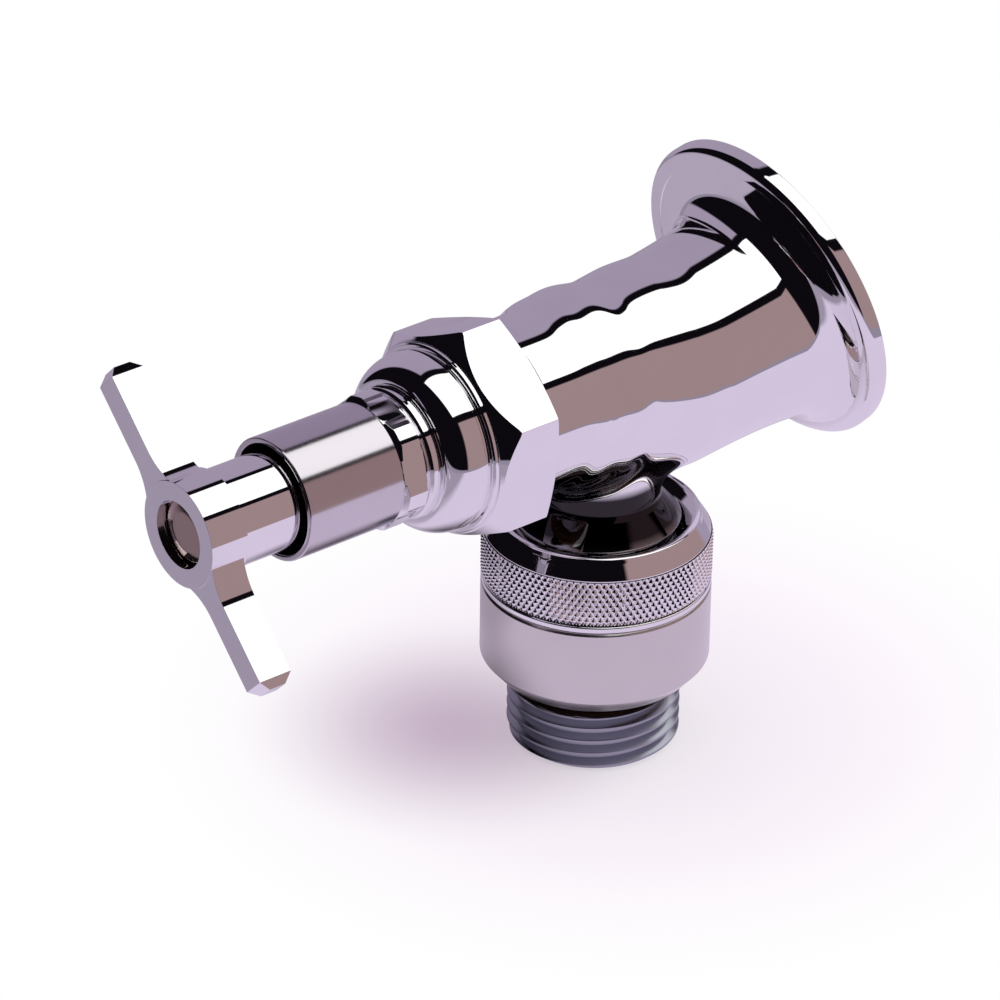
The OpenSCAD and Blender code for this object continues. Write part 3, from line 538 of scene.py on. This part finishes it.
def threaded(name, seat, material, crest, depth, pitch, low, high, columns=120):
    """A helical thread as a strip of rows that climb one pitch a turn and fade into the root at both ends.
    A negative depth makes a female thread."""
    runout = 1.0
    flank = abs(depth) * math.tan(math.radians(30)) / pitch
    flat = (1 - 2 * flank) / 2
    crest_marks = [0, flat * 0.3, flat, flat + flank * 0.12, flat + flank * 0.5, flat + flank * 0.88]
    root_marks = [0, flat * 0.5, flat, flat + flank * 0.12, flat + flank * 0.5, flat + flank * 0.88]
    marks = crest_marks + [flat + flank + mark for mark in root_marks]
    heights = [1, 1, 0.97, 0.86, 0.5, 0.12, 0, 0, 0, 0.12, 0.5, 0.86]
    count = int((high - low) / pitch) + 3
    rows = [(turn + mark, tall) for turn in range(-1, count) for mark, tall in zip(marks, heights)]
    angles = np.linspace(0, 2 * math.pi, columns + 1)
    points, faces = [], []
    for turn, tall in rows:
        h = low + pitch * (turn + angles / (2 * math.pi) - 0.5)
        fade = np.clip((h - low) / runout, 0, 1) * np.clip((high - h) / runout, 0, 1)
        r = crest - depth + depth * tall * fade
        points.append(np.column_stack((r * np.cos(angles), r * np.sin(angles), np.clip(h, low, high))))
    span = columns + 1
    for i in range(len(rows) - 1):
        here, above = i * span, (i + 1) * span
        faces += [(here + j, here + j + 1, above + j + 1, above + j) for j in range(columns)]
    return tidy_mesh(link_mesh(name, seated(np.vstack(points), seat), faces, material), 35)


pipe_pitch, hose_pitch = 1.814, 2.209
inlet_thread = threaded("inlet_thread", ON_INLET, chrome,
                        crest=12.3, depth=-0.9, pitch=pipe_pitch, low=0.2, high=14)
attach(inlet_thread, "faucet")
neck_end = turned("outlet_neck", [
    (6.95, -8.6, 0), (12.0, -8.7, 0.3), (12.0, 1.6, 0), (12.85, 1.7, 0.2), (12.85, 2.6, 0.3), (9.5, 6.4, 2),
    (9.45, 9, 0), (6.95, 9, 0),
], ON_OUTLET, cast_chrome)
neck_thread = threaded("outlet_neck_thread", ON_OUTLET, cast_chrome,
                       crest=13.25, depth=1.3, pitch=hose_pitch, low=-8.6, high=1.7)
for piece in (neck_end, neck_thread):
    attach(piece, "faucet")


# The brass seat ring, screwed into the body. It and the other small pieces of the valve and the breaker
# are the CAD's own, in turned brass, black rubber, fibre, graphite packing, nylon and spring steel. Most
# of them only show when the faucet is apart.
def matt_stuff(name, tone, roughness, metallic=0.0):
    """A dull material whose tone and roughness vary a little from place to place."""
    material, tree = new_material(name)
    spot = Wire.node(tree, "ShaderNodeTexCoord", output="Object")
    fleck = noise(tree, spot, scale=400, detail=5)
    dark = [0.8 * c for c in tone]
    dents = {"Strength": 0.4, "Distance": 0.00005, "Height": fleck}
    finish = {
        "Base Color": paint(tree, (*dark, 1), (*tone, 1), fleck),
        "Metallic": metallic,
        "Roughness": roughness - 0.1 * fleck,
        "Normal": Wire.node(tree, "ShaderNodeBump", values=dents),
    }
    end_material(tree, Wire.node(tree, "ShaderNodeBsdfPrincipled", values=finish))
    return material


brass = matt_stuff("turned_brass", (0.75, 0.56, 0.27), roughness=0.38, metallic=1.0)
rubber = matt_stuff("black_rubber", (0.03, 0.03, 0.032), roughness=0.75)
fibre = matt_stuff("fibre", (0.21, 0.09, 0.05), roughness=0.8)
packing = matt_stuff("graphite_packing", (0.07, 0.07, 0.075), roughness=0.6)
nylon = matt_stuff("ivory_nylon", (0.78, 0.75, 0.66), roughness=0.45)
steel = matt_stuff("spring_steel", (0.55, 0.55, 0.57), roughness=0.3, metallic=1.0)
for names, material, slot in (
    (("seat_ring", "stem", "disc_holder", "seat_washer_screw"), brass, "brass"),
    (("packing_washer", "packing_gland", "lock_screw"), brass, "brass"),
    (("seat_washer", "hose_washer", "breaker_disc"), rubber, "rubber"),
    (("bonnet_gasket",), fibre, "fibre"),
    (("packing_rings",), packing, "packing"),
    (("breaker_poppet", "breaker_guide"), nylon, "plastic"),
    (("breaker_spring",), steel, "spring_steel"),
):
    for name in names:
        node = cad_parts[name]
        node.data.materials.clear()
        node.data.materials.append(material)


# The bonnet nut: a hexagon with a coned front and a domed top, turned from brass bar and chromed. It
# screws into the body on the gasket and carries the packing box.
NUT_COLUMNS = 192


def soften(made, width, angle, segments):
    """Bevels the edges that turn by more than that angle, by a width in millimetres."""
    edges = made.modifiers.new("edges", "BEVEL")
    edges.limit_method, edges.angle_limit = "ANGLE", math.radians(angle)
    edges.width, edges.segments = width / 1000, segments
    edges.harden_normals = True


def lofted(name, rows, seat, bevel):
    """A chromed piece whose closed section changes round its axis, with a small bevel on every edge."""
    points, faces = wrapped(rows, NUT_COLUMNS)
    made = tidy_mesh(link_mesh(name, seated(points, seat), faces, chrome), 180)
    soften(made, bevel, angle=24, segments=2)
    return made


def hexagon(across_flats, turn, corner_r):
    """The radius of a hexagon at each column, its first corner at that turn, all turned off at corner_r."""
    angles = np.linspace(0, 360, NUT_COLUMNS + 1)[:-1] - turn
    return np.minimum(across_flats / 2 / np.cos(np.radians((angles % 60) - 30)), corner_r)


nut = hexagon(across_flats=30.8, turn=22.5, corner_r=17.68)
nut_back = 21.2 + 0.33 * (nut - 15.4)
nut_front = 28.7 + 1.07 * (17.8 - nut)
dome_angles = [math.radians(a) for a in range(0, 90, 6)]
dome = [(10.6 + 3.4 * math.cos(a), 33.4 + 5.5 * math.sin(a)) for a in dome_angles]
bonnet = lofted("bonnet_nut", [
    (11.5, 21.15), (15.4, 21.15), (nut, nut_back), (nut, nut_front), (15.0, 31.7), (14.75, 31.75),
    (14.75, 32.3), (14.5, 32.55), (13.75, 32.6), (13.7, 33.2), *dome, (10.5, 38.9), (8.3, 38.9),
    (8.3, 26.6), (6.98, 26.6), (6.98, 10.8), (11.5, 10.8),
], ON_STEM, bevel=0.16)
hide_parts("bonnet")
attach(bonnet, "faucet")


# The packing nut: a small hexagon with its corners turned off, a collar below it and a long sleeve that
# shrouds the handle's shank. Brass, turned and chromed, and screwed into the bonnet over the packing.
small_nut = hexagon(across_flats=19.2, turn=45, corner_r=10.4)
small_nut_front = 45.0 - 0.3 * (small_nut - 9.6)
packing_nut = lofted("packing_nut", [
    (8.25, 38.9), (10.0, 38.9), (10.3, 39.2), (10.3, 40.3), (9.9, 40.7), (9.35, 40.8), (9.35, 41.2),
    (np.minimum(small_nut, 9.9), 41.25), (small_nut, 41.5), (small_nut, small_nut_front), (9.62, 45.3),
    (9.5, 45.35), (9.5, 62.25), (9.4, 62.45), (9.2, 62.5), (8.85, 62.5), (8.62, 62.4), (8.5, 62.15),
    (8.5, 47.1), (4.83, 47.1), (4.83, 34.9), (8.25, 34.9),
], ON_STEM, bevel=0.12)
sleeve_start = 45.4
packing_nut.data.materials.append(plating("brushed_chrome", (0.70, 0.66, 0.70), roughness=0.12, haze=0.10))
for face in packing_nut.data.polygons:
    face.material_index = int((np.array(face.center) * 1000 - crossing) @ stem_way > sleeve_start)
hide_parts("packing_nut")
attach(packing_nut, "faucet")


# The tee handle: shank, hub and two arms in one die casting, polished and chromed, with a square hole
# for the stem and a recess for the screw that holds it.
arm_width, arm_back, arm_front, bevel_start = 4.4, 73.4, 79.0, 24.6
arm_fillet, fillet_end = 9.5, 12.744


def arm_half(x):
    """Half the width of an arm, which its fillets run into the hub."""
    fall = math.sqrt(arm_fillet ** 2 - max(0, fillet_end - x) ** 2)
    return arm_width / 2 + arm_fillet - fall


# An arm's stations stand close along its fillet, and the last ones draw its tip in.
half_stations = [5.75 + 0.44 * i for i in range(17)] + [16, 19, 22, bevel_start, 25.3, 26]
stations = [-x for x in reversed(half_stations)] + half_stations
arm_points = []
for x in stations:
    pull = max(0, abs(x) - bevel_start)
    half = arm_half(abs(x)) - pull / 2
    low, high = arm_back + pull, arm_front - pull
    arm_points += [(x, -half, low), (x, half, low), (x, half, high), (x, -half, high)]
arm_faces = ring_faces(len(stations), 4, closed=False)
last = 4 * len(stations)
arm_faces += [(0, 3, 2, 1), (last - 4, last - 3, last - 2, last - 1)]
cos_turn, sin_turn = math.cos(math.radians(135)), math.sin(math.radians(135))
spin = np.array(((cos_turn, -sin_turn, 0), (sin_turn, cos_turn, 0), (0, 0, 1)))
arms = tidy_mesh(link_mesh("arms", seated(np.array(arm_points) @ spin.T, ON_STEM), arm_faces, chrome), 30)
handle = turned("tee_handle", [
    (4.85, 49.5, 0), (7.5, 49.5, 0.5), (7.5, 72.8, 0), (8.2, 72.8, 0), (8.2, 79.2, 0), (2.1, 79.2, 0),
    (2.1, 58.3, 0), (4.85, 58.3, 0),
], ON_STEM, chrome, columns=144)
cut(handle, arms, "UNION")
recess = turned("recess", [
    (0, 76.6, 0), (5.2, 76.6, 0), (5.2, 82, 0), (0, 82, 0),
], ON_STEM, chrome, columns=96)
cut(handle, recess)
handle.data.shade_smooth()
soften(handle, 0.35, angle=26, segments=3)
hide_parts("tee_handle")
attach(handle, "handle")


# The handle screw: a low round head that fills the recess, its plate painted warm brown as a painted
# reflection. Its shank runs down through the hub and holds the handle on the stem.
brown_reflection_plate = plating("brown_reflection_plate", (0.50, 0.38, 0.34), roughness=0.16, haze=0.1)
handle_screw = turned("handle_screw_head", [
    (0, 64.5, 0), (2, 64.5, 0.3), (2, 76.6, 0), (4.9, 76.6, 0), (4.9, 77.6, 0.5), (3.0, 78.05, 2),
    (0, 78.1, 0),
], ON_STEM, brown_reflection_plate, columns=96)
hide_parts("handle_screw")
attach(handle_screw, "handle")


# The vacuum breaker's housing: a turned brass cup with a coned lip, a diamond-knurled grip, a rounded bead
# and a plain satin band. It screws on the outlet neck and is held by a locking screw.
satin = plating("satin_chrome", (0.74, 0.70, 0.69), roughness=0.20, haze=0.08)
lip = turned("breaker_lip", [
    (13.4, -3, 0), (13.4, 1.8, 0), (14.6, 2.9, 0.3), (15.0, 3.2, 0.4), (15.7, 3.2, 0.6), (16.1, 2.4, 0.6),
    (17.5, 0.25, 0.2), (17.5, 0.0, 0), (17.2, -0.1, 0), (17.2, -3, 0),
], ON_OUTLET, chrome, columns=240)
# Two sets of grooves lean 32 degrees to either side at a radius of 17.8 and leave diamonds between them.
# They run out over one and a half rows at top and bottom, where the band is 0.25 smaller.
knurl_r, knurl_height, knurl_depth, knurl_count = 17.9, 7.4, 0.45, 105
knurl_climb = math.tan(math.radians(32)) / 17.8 / (2 * math.pi) * knurl_count
knurl_rows, knurl_columns = 44, 1260
marks = np.arange(knurl_columns) / knurl_columns * knurl_count
knurl_rings = []
for i in range(knurl_rows + 1):
    h = -knurl_height * i / knurl_rows
    left = np.abs((marks + h * knurl_climb) % 1 - 0.5) * 2
    right = np.abs((marks - h * knurl_climb) % 1 - 0.5) * 2
    edge = min(1, i / 1.5, (knurl_rows - i) / 1.5)
    groove = knurl_depth * (1 - np.minimum(left, right)) * edge
    knurl_rings.append((knurl_r - groove - 0.25 * (1 - edge), h))
points, faces = wrapped(knurl_rings, knurl_columns, closed=False)
knurl = tidy_mesh(link_mesh("breaker_knurl", seated(points, ON_OUTLET), faces, chrome), 20)
bead = turned("breaker_bead", [
    (13.6, -7.5, 0), (17.3, -7.4, 0), (17.35, -7.6, 0), (17.78, -7.8, 0.3), (17.78, -8.7, 0.4),
    (17.3, -8.95, 0), (13.6, -9.0, 0),
], ON_OUTLET, chrome, columns=240)
band = turned("breaker_band", [
    (13.6, -8.95, 0), (17.5, -8.95, 0.2), (17.8, -9.3, 0.3), (17.8, -21.2, 0.4), (15.5, -23.9, 0.4),
    (14.3, -24.0, 0.3), (14.2, -20.4, 0), (14.9, -20.2, 0), (14.9, -13.8, 0), (13.6, -11.7, 0),
], ON_OUTLET, satin, columns=240)
grip_core = turned("breaker_grip_core", [
    (13.6, -2.9, 0), (17.25, -2.9, 0), (17.25, -7.5, 0), (13.6, -7.5, 0),
], ON_OUTLET, chrome)
web = turned("breaker_web", [
    (6.2, -11.7, 0), (13.7, -11.7, 0), (13.7, -13.7, 0), (6.2, -13.7, 0),
], ON_OUTLET, brass)
for piece in (lip, knurl, bead, band, grip_core, web):
    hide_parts("breaker_housing")
    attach(piece, "faucet")


# The nipple: the breaker's outlet, pressed up into the housing, with a male hose thread. Its brass is
# plated dull, and the undercut above the thread, under the housing, is painted brown: a painted shade.
painted_undercut_shade = {"tone": (0.10, 0.05, 0.03), "reach": 0.0150, "low": -0.0525, "high": -0.0400}
dull = plating("dull_chrome", (0.38, 0.39, 0.44), roughness=0.20, haze=0.1, painted_shade=painted_undercut_shade)
nipple = turned("breaker_nipple_core", [
    (8.4, -36.2, 0.3), (12.15, -36.2, 0.2), (12.13, -25.4, 0.2), (11.9, -25.2, 0.2), (11.9, -20.2, 0.3),
    (14.8, -20.2, 0.2), (14.8, -17.2, 0.2), (9.2, -17.2, 0), (9.2, -24.9, 0), (8.4, -24.9, 0),
], ON_OUTLET, dull)
nipple_thread = threaded("breaker_nipple_thread", ON_OUTLET, dull,
                         crest=13.45, depth=1.3, pitch=hose_pitch, low=-36.15, high=-25.45, columns=180)
for piece in (nipple, nipple_thread):
    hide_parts("breaker_nipple")
    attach(piece, "faucet")

low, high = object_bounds()
